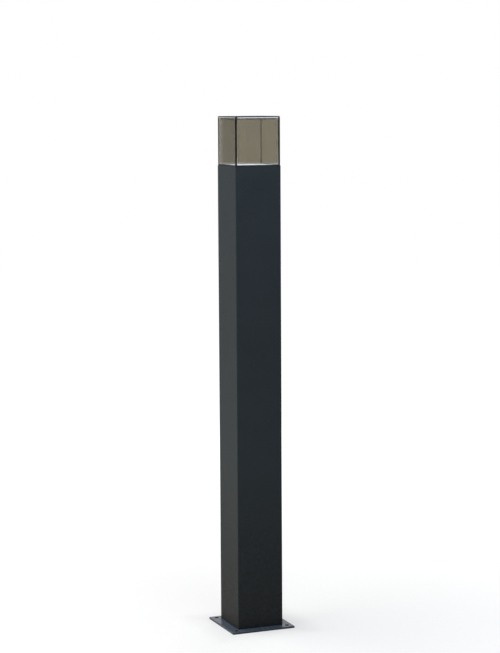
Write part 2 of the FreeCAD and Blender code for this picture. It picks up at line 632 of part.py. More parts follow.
UPPER_EAR = f"{DRIVER_BASE} + Size.driver_length + {EAR_MIDDLE}"
LOWER_EAR = f"{DRIVER_BASE} - {EAR_MIDDLE}"
ear_screw_places = [("Size.driver_screw_offset", UPPER_EAR), ("-Size.driver_screw_offset", LOWER_EAR)]
FIXING = f"{TERMINAL_BASE} + Size.terminal_fixing_height"
fixing_places = [("-Size.terminal_pitch / 2", FIXING), ("Size.terminal_pitch / 2", FIXING)]
cut_circles(driver_bracket, "GearHoles", ear_screw_places + fixing_places, "Size.tapped_hole",
            "Size.bracket_sheet", plane="XZ_Plane")
cut_circles(driver_bracket, "EarthHole", [("0", "Size.earth_screw_height")], "Size.earth_tapped_hole",
            "Size.bracket_sheet", plane="XZ_Plane")

bracket_screws = pan_head_screws(
    "bracket_screws", [(f"-{BRACKET_SCREW}", "0"), (BRACKET_SCREW, "0")], "Size.machine_screw",
    "Size.bracket_screw_length", "Size.machine_screw_head", "Size.machine_screw_head_height",
    "XZ_Plane", f"{PAN_FACE} + Size.bracket_sheet", f"{SHOULDER} + {SIDE_SCREW_HEIGHT}", along=True)

# Driver: a potted block with a fixing ear at each end, on the bracket's inner face.
led_driver = new_body("led_driver", y=PAN_FACE, z=DRIVER_FOOT)
pad_outline(led_driver, "DriverOutline",
            rectangle("Size.driver_width", "Size.driver_depth", y="-Size.driver_depth / 2"),
            "Size.driver_length")
round_edges(led_driver, "Size.driver_round", is_upright)
pad_outline(led_driver, "Ears",
            rectangle("Size.driver_width - 2 * Size.driver_round", "Size.driver_ear_thickness",
                      y="-Size.driver_ear_thickness / 2"),
            "Size.driver_length + 2 * Size.driver_ear_length", "-Size.driver_ear_length")
driver_ear_places = [
    ("Size.driver_screw_offset", f"Size.driver_length + {EAR_MIDDLE}"),
    ("-Size.driver_screw_offset", f"-{EAR_MIDDLE}"),
]
cut_circles(led_driver, "EarHoles", driver_ear_places, "Size.machine_screw_hole",
            "Size.driver_ear_thickness", "Size.driver_ear_thickness", plane="XZ_Plane")

driver_screws = pan_head_screws(
    "driver_screws", driver_ear_places, "Size.machine_screw", "Size.driver_screw_length",
    "Size.machine_screw_head", "Size.machine_screw_head_height", "XZ_Plane",
    f"{PAN_FACE} - Size.driver_ear_thickness", DRIVER_FOOT)

# Lead from the driver up through the pan's floor, bent over into the board's connector.
lead_grommet = new_body("lead_grommet", y=LEAD, z=PAN_DECK + " - Size.pan_floor")
NECK = "Size.lead_hole / 2 - Size.grommet_clearance"
turn_about_axis(lead_grommet, "LeadGrommetProfile", [
    ("Size.lead_grommet_bore / 2", "-Size.lead_grommet_lip"),
    ("Size.lead_grommet_flange / 2", "-Size.lead_grommet_lip"),
    ("Size.lead_grommet_flange / 2", "0"),
    (NECK, "0"),
    (NECK, "Size.pan_floor"),
    ("Size.lead_grommet_flange / 2", "Size.pan_floor"),
    ("Size.lead_grommet_flange / 2", "Size.pan_floor + Size.lead_grommet_lip"),
    ("Size.lead_grommet_bore / 2", "Size.pan_floor + Size.lead_grommet_lip"),
])

led_lead = new_body("led_lead", y=LEAD, z=DRIVER_TOP)
RISE = f"{BOARD_TOP} + Size.connector_entry - Size.lead_bend - ({DRIVER_TOP})"
LEAD_TIP = "-Size.lead_bend - Size.lead_tail"
lead_section = new_sketch(led_lead, "LeadSection")
draw_circles(lead_section, [("0", "0")], "Size.lead_diameter")
lead_path = new_sketch(led_lead, "LeadPath", "YZ_Plane")
bend = value("Size.lead_bend")
rise = value(RISE)
foot = FreeCAD.Vector(0, 0, 0)
bend_start = FreeCAD.Vector(0, rise, 0)
bend_end = FreeCAD.Vector(-bend, rise + bend, 0)
tip = FreeCAD.Vector(value(LEAD_TIP), rise + bend, 0)
bend_middle = FreeCAD.Vector(-bend, rise, 0) + FreeCAD.Vector(bend, bend, 0) * 0.5 ** 0.5
lead_path.addGeometry(Part.LineSegment(foot, bend_start))
lead_path.addGeometry(Part.Arc(bend_start, bend_middle, bend_end))
lead_path.addGeometry(Part.LineSegment(bend_end, tip))
hold(lead_path, 0, 1, "0", "0")
hold(lead_path, 0, 2, "0", RISE)
hold(lead_path, 2, 1, "-Size.lead_bend", f"{RISE} + Size.lead_bend")
hold(lead_path, 2, 2, LEAD_TIP, f"{RISE} + Size.lead_bend")
lead_path.addConstraint(Sketcher.Constraint("Coincident", 0, 2, 1, 1))
lead_path.addConstraint(Sketcher.Constraint("Coincident", 1, 2, 2, 1))
bind(lead_path, Sketcher.Constraint("Radius", 1, bend), "Size.lead_bend")
doc.recompute()
lead_pipe = led_lead.newObject("PartDesign::AdditivePipe", "LeadPipe")
lead_pipe.Profile = lead_section
lead_pipe.Spine = lead_path
doc.recompute()

# Terminals at the bracket's foot: the driver's input lead, the block and its screws.
driver_input_lead = new_body("driver_input_lead", y=f"{PAN_FACE} - Size.input_lead_depth",
                             z=TERMINAL_TOP)
pad_circles(driver_input_lead, "InputLead", [("0", "0")], "Size.input_lead_diameter",
            "Size.input_lead_length")

terminal_block = new_body("terminal_block", y=PAN_FACE, z=TERMINAL_FOOT)
pad_outline(terminal_block, "BlockOutline",
            rectangle("Size.terminal_width", "Size.terminal_depth", y="-Size.terminal_depth / 2"),
            "Size.terminal_height")
poles = [("-Size.terminal_pitch", "0"), ("0", "0"), ("Size.terminal_pitch", "0")]
cut_circles(terminal_block, "CoreEntries", [(x, "-Size.terminal_entry_setback") for x, y in poles],
            "Size.terminal_entry", "Size.terminal_entry_depth", reverse=True)
clamp_places = [(x, "Size.terminal_screw_height") for x, y in poles]
cut_circles(terminal_block, "ClampHoles", clamp_places, "Size.terminal_screw_hole",
            "Size.terminal_depth - Size.terminal_entry_setback", "Size.terminal_depth",
            plane="XZ_Plane")
block_fixing_places = [
    ("-Size.terminal_pitch / 2", "Size.terminal_fixing_height"),
    ("Size.terminal_pitch / 2", "Size.terminal_fixing_height"),
]
cut_circles(terminal_block, "FixingHoles", block_fixing_places, "Size.machine_screw_hole",
            "Size.terminal_depth", "Size.terminal_depth", plane="XZ_Plane")

terminal_screws = pan_head_screws(
    "terminal_screws", clamp_places, "Size.terminal_screw", "Size.terminal_screw_length",
    "Size.terminal_screw_head", "Size.terminal_screw_head_height", "XZ_Plane",
    f"{PAN_FACE} - Size.terminal_depth", TERMINAL_FOOT)

terminal_fixings = pan_head_screws(
    "terminal_fixings", block_fixing_places, "Size.machine_screw", "Size.terminal_fixing_length",
    "Size.machine_screw_head", "Size.machine_screw_head_height", "XZ_Plane",
    f"{PAN_FACE} - Size.terminal_depth", TERMINAL_FOOT)

earth_screw = pan_head_screws(
    "earth_screw", [("0", "Size.earth_screw_height")], "Size.earth_screw", "Size.earth_screw_length",
    "Size.earth_screw_head", "Size.earth_screw_head_height", "XZ_Plane", PAN_FACE, BRACKET_FOOT)

doc.recompute()
for item in doc.Objects:
    if "Invalid" in item.State or "Error" in item.State:
        raise RuntimeError(f"{item.Label} failed: {item.State}")
bodies = [item for item in doc.Objects if item.TypeId == "PartDesign::Body"]
for body in bodies:
    if body.Shape.isNull() or not body.Shape.isValid() or not body.Shape.Solids:
        raise RuntimeError(f"{body.Label} has no valid solid")

os.makedirs("parts", exist_ok=True)
for body in bodies:
    body.Shape.exportStep(f"parts/{body.Label}.step")
    print(f"{body.Label}: {len(body.Shape.Solids)} solid(s), {body.Shape.Volume:.1f} mm3")
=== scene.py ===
# %% [markdown]
# # A post lantern, dressed over its CAD frame
# The object is a garden bollard light: a square dark post on a bolt-down plate, with a glazed head
# and a flat lid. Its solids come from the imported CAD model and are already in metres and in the
# right place, so this lesson only gives them finishes, a few small parts, light and a camera.

# %% Load the frame
import math

import bmesh
import bpy
from mathutils import Matrix, Vector


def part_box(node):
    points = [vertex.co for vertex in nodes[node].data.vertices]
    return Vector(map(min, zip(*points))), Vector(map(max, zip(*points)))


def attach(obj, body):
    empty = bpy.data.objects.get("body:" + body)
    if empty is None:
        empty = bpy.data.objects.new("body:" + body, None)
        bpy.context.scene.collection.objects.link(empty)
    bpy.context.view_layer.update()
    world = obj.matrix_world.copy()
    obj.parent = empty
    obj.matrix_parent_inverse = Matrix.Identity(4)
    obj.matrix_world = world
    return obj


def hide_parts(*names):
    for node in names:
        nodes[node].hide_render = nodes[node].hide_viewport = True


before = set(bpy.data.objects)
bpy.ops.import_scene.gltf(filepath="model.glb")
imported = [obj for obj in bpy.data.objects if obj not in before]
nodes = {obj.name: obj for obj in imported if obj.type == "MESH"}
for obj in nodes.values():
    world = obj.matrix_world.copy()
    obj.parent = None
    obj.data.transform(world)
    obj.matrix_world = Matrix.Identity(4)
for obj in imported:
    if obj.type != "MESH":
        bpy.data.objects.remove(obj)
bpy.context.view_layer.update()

MM = 0.001

# %% [markdown]
# ## Colours
# Colours are written as sRGB hex, as a paint card gives them, but Blender's sockets take linear
# light. Linear numbers could be typed in instead, but nobody could read a colour from them, so one
# function turns the one into the other.

# %% Colour helper
def linear(hex_code):
    """An sRGB hex colour as the linear RGBA that a socket takes."""
    shares = [int(hex_code[start:start + 2], 16) / 255 for start in (1, 3, 5)]
    return [s / 12.92 if s <= 0.04045 else ((s + 0.055) / 1.055) ** 2.4 for s in shares] + [1.0]


print("mid grey in linear light:", [round(share, 3) for share in linear("#808080")])

# %% [markdown]
# ## Finishes from nodes
# A finish is a small tree of nodes, which is often clicked together by hand. Here one function adds
# a node, sets it and links it, so that each finish below reads as a short recipe. Inputs go by name,
# or by number on the nodes whose inputs share a name: Math, VectorMath and MixShader.

# %% Node helpers
finishes = {}


def add_node(tree, kind, inputs=None, **settings):
    """Adds a node with its settings, and a value or a link for each input that is named."""
    node = tree.nodes.new("ShaderNode" + kind)
    for name, setting in settings.items():
        setattr(node, name, setting)
    for name, source in (inputs or {}).items():
        if isinstance(source, bpy.types.NodeSocket):
            tree.links.new(source, node.inputs[name])
        else:
            node.inputs[name].default_value = source
    return node


def new_finish(name):
    """An empty node material, kept under its name."""
    finishes[name] = bpy.data.materials.new(name)
    finishes[name].use_nodes = True
    finishes[name].node_tree.nodes.clear()
    return finishes[name].node_tree


def cover(finish, *names):
    """Puts a finish on CAD nodes."""
    for name in names:
        nodes[name].data.materials.clear()
        nodes[name].data.materials.append(finishes[finish])
    print(finish, "on", len(names), "nodes")


print("nodes to cover:", len(nodes))

# %% [markdown]
# ## Powder-coated aluminium
# The post, tray, lid and plate are aluminium under an anthracite powder coat. The powder is sprayed
# dry and baked, which leaves a skin of fine melted grains. The eye gets a soft, broad sheen, no
# mirror, and a faint cloudiness where the coat is thicker. The post's coat is a matt, textured one,
# darker towards its foot, partly with a little soil splashed up by rain and partly as painted shade
# near the ground. The plate's is a smoother, satin one. It is paler than the post's, partly with dust
# and partly as painted skylight on the flat plate, and mirrors the post and the sky at a low angle.
# Grains of about 0.3 mm are too fine for this picture, so they are drawn at 1.2 mm. Two recipes would
# repeat each other, so one function makes both coats, and only their tone, sheen, soil and shade
# differ.

# %% Powder coat
GRAIN = 1.2 * MM
GRAIN_HEIGHT = 0.15 * MM
GRAIN_SHARE = 0.4
CLOUD = 70 * MM
SOIL_AND_SHADE_HEIGHT = 380 * MM
SOIL_AND_SHADE_SPOT = 6 * MM
SOIL_AND_SHADE = "#24221D"


def powder_coat(name, dark, pale, smooth, matt, gloss, soil_and_shade):
    """A powder coat in two tones and roughnesses, with soil and painted shade near the ground."""
    coat = new_finish(name)
    place = add_node(coat, "TexCoord").outputs["Object"]
    grain = add_node(coat, "TexNoise", {"Vector": place, "Scale": 1 / GRAIN, "Detail": 3.0})
    cloud = add_node(coat, "TexNoise", {"Vector": place, "Scale": 1 / CLOUD, "Detail": 4.0})
    blotch = add_node(coat, "Mix", {
        "Factor": GRAIN_SHARE, "A": cloud.outputs["Fac"], "B": grain.outputs["Fac"]})
    tone = add_node(coat, "Mix", {
        "Factor": blotch.outputs["Result"], "A": linear(dark), "B": linear(pale)}, data_type="RGBA")
    height = add_node(coat, "SeparateXYZ", {"Vector": place}).outputs["Z"]
    # Darker towards the foot: partly soil, partly painted shade near the ground.
    soil_and_shade_fade = add_node(coat, "MapRange", {
        "Value": height, "From Min": 0.0, "From Max": SOIL_AND_SHADE_HEIGHT, "To Min": soil_and_shade, "To Max": 0.0},
        interpolation_type="SMOOTHSTEP")
    spots = add_node(coat, "TexNoise", {
        "Vector": place, "Scale": 1 / SOIL_AND_SHADE_SPOT, "Detail": 5.0})
    spread = add_node(coat, "Math", {0: soil_and_shade_fade.outputs["Result"], 1: spots.outputs["Fac"]},
                      operation="MULTIPLY")
    soiled_and_shaded = add_node(coat, "Mix", {
        "Factor": spread.outputs["Value"], "A": tone.outputs["Result"], "B": linear(SOIL_AND_SHADE)},
        data_type="RGBA")
    sheen = add_node(coat, "MapRange", {
        "Value": cloud.outputs["Fac"], "To Min": smooth, "To Max": matt})
    relief = add_node(coat, "Bump", {
        "Height": grain.outputs["Fac"], "Strength": 0.6, "Distance": GRAIN_HEIGHT})
    shader = add_node(coat, "BsdfPrincipled", {
        "Base Color": soiled_and_shaded.outputs["Result"], "Roughness": sheen.outputs["Result"], "IOR": 1.5,
        "Specular IOR Level": gloss, "Normal": relief.outputs["Normal"]})
    add_node(coat, "OutputMaterial", {"Surface": shader.outputs["BSDF"]})
    return coat, place, shader


powder_coat("matt_powder_coated_aluminium", "#30363A", "#3F464A",
            smooth=0.50, matt=0.60, gloss=0.25, soil_and_shade=1.1)
cover("matt_powder_coated_aluminium", "post_tube", "lamp_tray", "lid_plate")

# %% [markdown]
# ## Painted shade in the anchor holes
# In and round its four anchor holes the plate's coat is painted nearly black and dull, as painted
# shade where little light gets in. Taking x and y without their signs folds the plate into one
# quarter, so one distance from one hole marks all four.

# %% Plate with painted shade in its holes
ANCHOR_REACH = 57 * MM
HOLE_RADIUS = 3.5 * MM
HOLE_SHADE_RIM = 1.8 * MM
HOLE_SHADE = "#0D0D0C"

# The plate's paler tone is partly dust and partly painted skylight on the flat plate.
plate, place, shader = powder_coat("satin_powder_coated_aluminium", "#4E5560", "#5D646E",
                                   smooth=0.24, matt=0.30, gloss=0.21, soil_and_shade=0.1)
bare_tone = shader.inputs["Base Color"].links[0].from_socket
bare_sheen = shader.inputs["Roughness"].links[0].from_socket
quarter = add_node(plate, "VectorMath", {0: place}, operation="ABSOLUTE")
flat = add_node(plate, "VectorMath", {0: quarter.outputs["Vector"], 1: (1, 1, 0)},
                operation="MULTIPLY")
from_hole = add_node(plate, "VectorMath", {
    0: flat.outputs["Vector"], 1: (ANCHOR_REACH, ANCHOR_REACH, 0)}, operation="DISTANCE")
# Painted shade: nearly black and dull in and round each anchor hole.
hole_shade_mask = add_node(plate, "MapRange", {
    "Value": from_hole.outputs["Value"], "From Min": HOLE_RADIUS,
    "From Max": HOLE_RADIUS + HOLE_SHADE_RIM, "To Min": 1.0, "To Max": 0.0})
hole_shaded_tone = add_node(plate, "Mix", {
    "Factor": hole_shade_mask.outputs["Result"], "A": bare_tone, "B": linear(HOLE_SHADE)}, data_type="RGBA")
dull = add_node(plate, "Mix", {"Factor": hole_shade_mask.outputs["Result"], "A": bare_sheen, "B": 1.0})
plate.links.new(hole_shaded_tone.outputs["Result"], shader.inputs["Base Color"])
plate.links.new(dull.outputs["Result"], shader.inputs["Roughness"])
cover("satin_powder_coated_aluminium", "base_plate")

# %% [markdown]
# ## Bronze anodised aluminium
# The slim bars at the corners of the head are drawn aluminium, anodised in dark bronze. The dye sits
# in a thin oxide skin over bare metal, so the bars glint along their length, where the die has left
# fine draw lines. Grooves in the mesh would take very many faces, so noise that is stretched along
# the bar draws the lines. Real ones are about 0.1 mm apart; here they are 0.5 mm, so that they show.

# %% Anodised bars
DRAW_LINE = 0.5 * MM
DRAW_LENGTH = 60 * MM
DRAW_DEPTH = 0.05 * MM

bronze = new_finish("bronze_anodised_aluminium")
place = add_node(bronze, "TexCoord").outputs["Object"]
stretch = add_node(bronze, "Mapping", {
    "Vector": place, "Scale": (1 / DRAW_LINE, 1 / DRAW_LINE, 1 / DRAW_LENGTH)})
lines = add_node(bronze, "TexNoise", {
    "Vector": stretch.outputs["Vector"], "Scale": 1.0, "Detail": 2.0})
tone = add_node(bronze, "Mix", {
    "Factor": lines.outputs["Fac"], "A": linear("#3A352C"), "B": linear("#484238")},
    data_type="RGBA")
sheen = add_node(bronze, "MapRange", {"Value": lines.outputs["Fac"], "To Min": 0.34, "To Max": 0.46})
relief = add_node(bronze, "Bump", {
    "Height": lines.outputs["Fac"], "Strength": 0.2, "Distance": DRAW_DEPTH})
shader = add_node(bronze, "BsdfPrincipled", {
    "Base Color": tone.outputs["Result"], "Metallic": 1.0, "Roughness": sheen.outputs["Result"],
    "Normal": relief.outputs["Normal"]})
add_node(bronze, "OutputMaterial", {"Surface": shader.outputs["BSDF"]})
cover("bronze_anodised_aluminium", "corner_bar_front_left", "corner_bar_front_right",
      "corner_bar_rear_right", "corner_bar_rear_left")

# %% [markdown]
# ## Mill-finish aluminium
# The frame that centres the lid is cut from flat bar and left as the mill rolled it. Bare aluminium
# is pale, and its oxide breaks the reflection into a soft grey shine with faint stains, so the frame
# hardly shows behind the glass. Stains could be painted, but a noise makes clouds of the right size
# without a picture.

# %% Lid frame
STAIN = 14 * MM

mill = new_finish("mill_finish_aluminium")
place = add_node(mill, "TexCoord").outputs["Object"]
stain = add_node(mill, "TexNoise", {"Vector": place, "Scale": 1 / STAIN, "Detail": 5.0})
tone = add_node(mill, "Mix", {
    "Factor": stain.outputs["Fac"], "A": linear("#B9BBBD"), "B": linear("#D2D4D5")},
    data_type="RGBA")
sheen = add_node(mill, "MapRange", {"Value": stain.outputs["Fac"], "To Min": 0.38, "To Max": 0.55})
shader = add_node(mill, "BsdfPrincipled", {
    "Base Color": tone.outputs["Result"], "Metallic": 1.0, "Roughness": sheen.outputs["Result"]})
add_node(mill, "OutputMaterial", {"Surface": shader.outputs["BSDF"]})
cover("mill_finish_aluminium", "lid_frame")

# %% [markdown]
# ## Tinted float glass
# The panes are 3 mm float glass with a light bronze tint, toughened, so their faces are flat but
# roll very slightly. A sheet with a see-through shader would be quicker, but these panes are closed
# solids, so light really bends in and out of them, and the tint adds up where two panes lie behind
# each other. Such glass can have a hard oxide film baked on, which mirrors about twice as much as
# bare glass, and the shader's coat stands for it. Outdoor dust greys it a little.

# %% Glass
PANES = ("glass_front", "glass_right", "glass_rear", "glass_left")
ROLLER_WAVE = 180 * MM
ROLLER_HEIGHT = 1 * MM
FILM = 12 * MM

glass = new_finish("bronze_tinted_float_glass")
place = add_node(glass, "TexCoord").outputs["Object"]
film = add_node(glass, "TexNoise", {"Vector": place, "Scale": 1 / FILM, "Detail": 4.0})
tint = add_node(glass, "Mix", {
    "Factor": film.outputs["Fac"], "A": linear("#C5C1B4"), "B": linear("#BFBBAE")},
    data_type="RGBA")
wave = add_node(glass, "TexNoise", {"Vector": place, "Scale": 1 / ROLLER_WAVE, "Detail": 0.0})
relief = add_node(glass, "Bump", {
    "Height": wave.outputs["Fac"], "Strength": 0.05, "Distance": ROLLER_HEIGHT})
haze = add_node(glass, "MapRange", {"Value": film.outputs["Fac"], "To Min": 0.0, "To Max": 0.03})
shader = add_node(glass, "BsdfPrincipled", {
    "Base Color": tint.outputs["Result"], "Transmission Weight": 1.0, "IOR": 1.52,
    "Roughness": haze.outputs["Result"], "Normal": relief.outputs["Normal"],
    "Coat Weight": 1.0, "Coat IOR": 1.8, "Coat Roughness": 0.02})
add_node(glass, "OutputMaterial", {"Surface": shader.outputs["BSDF"]})
cover("bronze_tinted_float_glass", *PANES)

# %% [markdown]
# ## Ground edges
# Glass is cut sharp and then ground along every edge. The wheel leaves a narrow matt facet. It is
# still glass, but rough, so light scatters on its way through and the facet shows as a pale line. A
# white opaque finish would be simpler, but it would hide what lies behind. The wheel's scratches are
# finer than 0.1 mm and are drawn at 0.6 mm. The facets themselves are made further on, by a bevel
# that takes the pane's second finish.

# %% Ground facets
GRIND = 0.6 * MM

facet = new_finish("ground_glass_edge")
place = add_node(facet, "TexCoord").outputs["Object"]
grind = add_node(facet, "TexNoise", {"Vector": place, "Scale": 1 / GRIND, "Detail": 3.0})
tone = add_node(facet, "Mix", {
    "Factor": grind.outputs["Fac"], "A": linear("#D4D7D5"), "B": linear("#E6E8E6")},
    data_type="RGBA")
shader = add_node(facet, "BsdfPrincipled", {
    "Base Color": tone.outputs["Result"], "Roughness": 0.6, "Transmission Weight": 1.0,
    "IOR": 1.52})
add_node(facet, "OutputMaterial", {"Surface": shader.outputs["BSDF"]})
for name in PANES:
    nodes[name].data.materials.append(finishes["ground_glass_edge"])
print("ground_glass_edge as the second finish of", len(PANES), "panes")

# %% [markdown]
# ## EPDM rubber
# The sill under the panes and the cable bushes are moulded EPDM, a black outdoor rubber. It is
# nearly matt, with a soft grey bloom where it has weathered. Two noises make it, a broad one for the
# bloom and a fine one for the grain of the mould, which is about 0.2 mm and drawn at 0.8 mm.

# %% Rubber
BLOOM = 9 * MM
MOULD_GRAIN = 0.8 * MM
RUBBER_GRAIN_HEIGHT = 0.1 * MM

rubber = new_finish("moulded_epdm_rubber")
place = add_node(rubber, "TexCoord").outputs["Object"]
bloom = add_node(rubber, "TexNoise", {"Vector": place, "Scale": 1 / BLOOM, "Detail": 4.0})
tone = add_node(rubber, "Mix", {
    "Factor": bloom.outputs["Fac"], "A": linear("#141516"), "B": linear("#242526")},
    data_type="RGBA")
grain = add_node(rubber, "TexNoise", {"Vector": place, "Scale": 1 / MOULD_GRAIN})
relief = add_node(rubber, "Bump", {
    "Height": grain.outputs["Fac"], "Strength": 0.2, "Distance": RUBBER_GRAIN_HEIGHT})
shader = add_node(rubber, "BsdfPrincipled", {
    "Base Color": tone.outputs["Result"], "Roughness": 0.75, "IOR": 1.5,
    "Normal": relief.outputs["Normal"]})
add_node(rubber, "OutputMaterial", {"Surface": shader.outputs["BSDF"]})
cover("moulded_epdm_rubber", "sill_seal", "cable_grommet", "lead_grommet")

# %% [markdown]
# ## Translucent silicone
# The lid sits on a milky silicone strip along the panes' top edges. Light soaks into it and comes
# out again nearby, so it reads as a bright line between the dark lid and the glass. Daylight also
# reaches it along the inside of the glass. Tracing that is slow, so a faint glow stands for it. On
# the left side the strip is painted greyer and glows less, as painted shade.

# %% Lid seal
MILK = 5 * MM
SOAK = 2 * MM
LEFT_SHADE_FROM = -43 * MM
LEFT_SHADE_FULL = -44 * MM
SEAL_GLOW = 0.25
LEFT_SHADE_GLOW = 0.07

silicone = new_finish("translucent_silicone")
place = add_node(silicone, "TexCoord").outputs["Object"]
milk = add_node(silicone, "TexNoise", {"Vector": place, "Scale": 1 / MILK, "Detail": 2.0})
tone = add_node(silicone, "Mix", {
    "Factor": milk.outputs["Fac"], "A": linear("#E8E6E7"), "B": linear("#F4F3F3")},
    data_type="RGBA")
across = add_node(silicone, "SeparateXYZ", {"Vector": place}).outputs["X"]
# Painted shade: the strip's left side is greyer and glows less.
left_shade_mask = add_node(silicone, "MapRange", {
    "Value": across, "From Min": LEFT_SHADE_FROM, "From Max": LEFT_SHADE_FULL})
left_shaded_tone = add_node(silicone, "Mix", {
    "Factor": left_shade_mask.outputs["Result"], "A": tone.outputs["Result"], "B": linear("#BDBBB7")},
    data_type="RGBA")
glow = add_node(silicone, "MapRange", {
    "Value": left_shade_mask.outputs["Result"], "To Min": SEAL_GLOW, "To Max": LEFT_SHADE_GLOW})
shader = add_node(silicone, "BsdfPrincipled", {
    "Base Color": left_shaded_tone.outputs["Result"], "Roughness": 0.35, "IOR": 1.41,
    "Subsurface Weight": 0.3, "Subsurface Radius": (SOAK, SOAK, SOAK), "Subsurface Scale": 1.0,
    "Emission Color": linear("#F4F1F6"), "Emission Strength": glow.outputs["Result"]})
add_node(silicone, "OutputMaterial", {"Surface": shader.outputs["BSDF"]})
cover("translucent_silicone", "lid_seal")

# %% [markdown]
# ## Opal acrylic
# The floor of the head is a sheet of opal acrylic over the light source. It spreads light inside
# itself, so by day it gathers what falls through all four panes and looks white. Tracing that
# gathered daylight through the glass is slow, so a glow stands for it, a little stronger over the
# chips. Its bluish tone makes up for the bronze of the glass that it is seen through.

# %% Diffuser
GLOW_REACH = 55 * MM
GLOW_MIDDLE = 2.45
GLOW_RIM = 2.15

opal = new_finish("cast_opal_acrylic")
place = add_node(opal, "TexCoord").outputs["Object"]
milk = add_node(opal, "TexNoise", {"Vector": place, "Scale": 1 / MILK, "Detail": 3.0})
tone = add_node(opal, "Mix", {
    "Factor": milk.outputs["Fac"], "A": linear("#EFECE6"), "B": linear("#F6F4EF")},
    data_type="RGBA")
flat = add_node(opal, "VectorMath", {0: place, 1: (1, 1, 0)}, operation="MULTIPLY")
reach = add_node(opal, "VectorMath", {0: flat.outputs["Vector"]}, operation="LENGTH")
glow = add_node(opal, "MapRange", {
    "Value": reach.outputs["Value"], "From Min": 0.0, "From Max": GLOW_REACH,
    "To Min": GLOW_MIDDLE, "To Max": GLOW_RIM})
shader = add_node(opal, "BsdfPrincipled", {
    "Base Color": tone.outputs["Result"], "Roughness": 0.3, "IOR": 1.49,
    "Emission Color": linear("#D7E3FF"), "Emission Strength": glow.outputs["Result"]})
add_node(opal, "OutputMaterial", {"Surface": shader.outputs["BSDF"]})
cover("cast_opal_acrylic", "diffuser")

# %% [markdown]
# ## Stainless steel
# The screws are cold-headed and turned from stainless steel. Their faces carry faint marks from the
# tool, and their edges catch the light. Real marks are about 0.1 mm wide; a noise of 0.4 mm stands
# for them, because turned rings would need a centre for each of the many screws.

# %% Stainless screws
TOOL_MARK = 0.4 * MM

steel = new_finish("cold_headed_stainless_steel")
place = add_node(steel, "TexCoord").outputs["Object"]
marks = add_node(steel, "TexNoise", {"Vector": place, "Scale": 1 / TOOL_MARK, "Detail": 2.0})
tone = add_node(steel, "Mix", {
    "Factor": marks.outputs["Fac"], "A": linear("#A7A49E"), "B": linear("#BEBBB5")},
    data_type="RGBA")
sheen = add_node(steel, "MapRange", {"Value": marks.outputs["Fac"], "To Min": 0.24, "To Max": 0.40})
shader = add_node(steel, "BsdfPrincipled", {
    "Base Color": tone.outputs["Result"], "Metallic": 1.0, "Roughness": sheen.outputs["Result"]})
add_node(steel, "OutputMaterial", {"Surface": shader.outputs["BSDF"]})
cover("cold_headed_stainless_steel", "base_screws", "tray_screws", "board_screws",
      "diffuser_screws", "bar_screws", "lid_screws", "bracket_screws", "driver_screws",
      "terminal_screws", "terminal_fixings", "earth_screw")

# %% [markdown]
# ## Six-lobe screws
# The countersunk screws that can be seen, in the lid, in the tray behind the glass, in the diffuser
# and under the plate, have six-lobe drives. The drive could be cut out with a boolean, but that
# leaves ragged faces. Instead, rings of points run from the bottom of the drive over the head and
# down the shank, and quads join them. A wave of six on the ring's radius makes the lobes.

# %% One countersunk screw
RING_POINTS = 48
LOBES = 6
LOBE_DEPTH = 0.12
DRIVE_SHARE = 0.95
DRIVE_TAPER = 0.8
DRIVE_DEPTH = 1.0 * MM
HEAD_EDGE = 0.15 * MM
HEAD_DROP = 0.03 * MM
TIP_CHAMFER = 0.4 * MM


def add_screw(mesh, centre, head, shank, length, facing):
    """One countersunk screw with its face at centre, looking up (1) or down (-1)."""
    drive = DRIVE_SHARE * shank
    profile = [
        (DRIVE_TAPER * drive, -DRIVE_DEPTH, True),
        (drive, 0.0, True),
        (head - HEAD_EDGE, 0.0, False),
        (head, -HEAD_DROP, False),
        (shank, shank - head, False),
        (shank, TIP_CHAMFER - length, False),
        (shank - TIP_CHAMFER, -length, False),
    ]
    rings = []
    for radius, depth, lobed in profile:
        ring = []
        for step in range(RING_POINTS):
            angle = 2 * math.pi * step / RING_POINTS
            wave = LOBE_DEPTH * (1 - math.cos(LOBES * angle)) if lobed else 0.0
            reach = radius * (1 - wave)
            offset = Vector((reach * math.cos(angle), facing * reach * math.sin(angle),
                             facing * depth))
            ring.append(mesh.verts.new(centre + offset))
        rings.append(ring)
    mesh.faces.new(rings[0])
    mesh.faces.new(list(reversed(rings[-1])))
    for inner, outer in zip(rings, rings[1:]):
        for step in range(RING_POINTS):
            after = (step + 1) % RING_POINTS
            mesh.faces.new((inner[step], outer[step], outer[after], inner[after]))


print("points round a screw:", RING_POINTS)

# %% [markdown]
# The CAD solids have plain heads, so each group gets a piece that stands in the same place and
# replaces it. Its height and reach are read from the solid's box, so it follows the CAD model.

